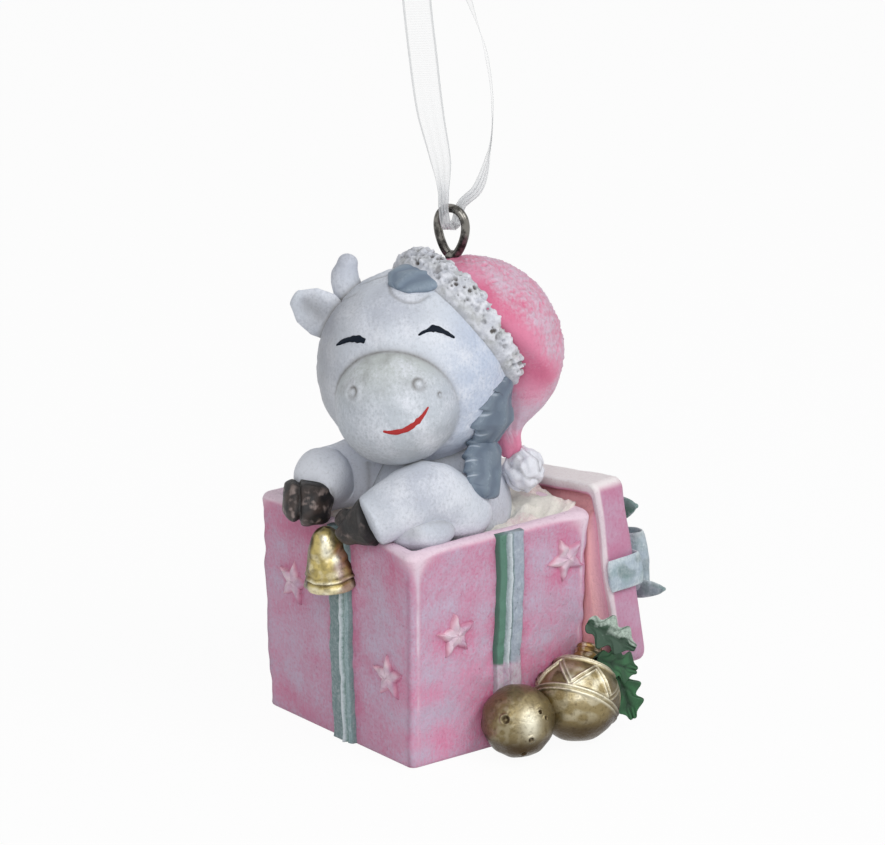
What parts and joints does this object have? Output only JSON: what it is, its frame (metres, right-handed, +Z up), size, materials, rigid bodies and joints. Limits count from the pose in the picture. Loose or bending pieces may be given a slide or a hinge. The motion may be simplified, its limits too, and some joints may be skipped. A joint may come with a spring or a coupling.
{
  "type": "bull christmas ornament",
  "caption": "Hanging resin ornament: a white bull in a pink bobble hat looks out of an open pink gift box with a bell, baubles and a leaning lid; a sheer ribbon loop runs through a wire eye.",
  "frame": {"origin": "middle of the gift box's flat base", "axes": "+Z up; -Y out of the box's front face, where the hooves and the bell are; +X toward the baubles"},
  "size_m": [0.0406, 0.0449, 0.1149],
  "materials": {
    "pink_paint": "pink paint with a lilac dry-brush on cast resin",
    "tissue_paint": "off-white paint",
    "ribbon_paint": "grey-green paint with pale edges",
    "white_paint": "bluish white paint with a grey wash",
    "grey_paint": "slate grey paint",
    "hoof_paint": "dark brown paint with a bronze dry-brush",
    "fur_paint": "off-white paint with a beige wash in the pits",
    "gold_paint": "antique gold paint",
    "leaf_paint": "dark green paint",
    "frosted_paint": "whitish green paint",
    "wire": "antique nickel",
    "organza": "sheer white woven ribbon"
  },
  "bodies": {
    "figure": {"gift_box": "pink_paint", "front_star_left": "pink_paint", "front_star_right": "pink_paint", "right_star_lower": "pink_paint", "right_star_upper": "pink_paint", "left_star_upper": "pink_paint", "left_star_lower": "pink_paint", "lid": "pink_paint", "hat_crown": "pink_paint", "tissue": "tissue_paint", "front_band": "ribbon_paint", "right_band": "ribbon_paint", "left_band": "ribbon_paint", "lid_ribbon": "ribbon_paint", "bow_knot": "ribbon_paint", "bow_loop_right": "ribbon_paint", "bow_loop_left": "ribbon_paint", "bow_tail_upper": "ribbon_paint", "bow_tail_lower": "ribbon_paint", "body": "white_paint", "head": "white_paint", "muzzle": "white_paint", "ear": "white_paint", "horn": "white_paint", "right_arm": "white_paint", "left_arm": "white_paint", "forelock": "grey_paint", "mane_upper": "grey_paint", "mane_lower": "grey_paint", "right_hoof": "hoof_paint", "left_hoof": "hoof_paint", "hat_brim": "fur_paint", "hat_bobble": "fur_paint", "bell": "gold_paint", "large_bauble": "gold_paint", "bauble_cap": "gold_paint", "small_bauble": "gold_paint", "leaf_middle": "leaf_paint", "leaf_lower": "leaf_paint", "leaf_upper": "frosted_paint", "wire_eye": "wire"},
    "hanging_loop": {"hanging_ribbon": "organza", "ribbon_knot": "organza"}
  },
  "joints": [
    {"name": "loop_swing", "type": "hinge", "parent": "figure", "child": "hanging_loop", "pos_m": [-0.0012, 0.0052, 0.06191], "axis": [0.3746, -0.9272, 0], "range_deg": [-75, 75]}
  ]
}
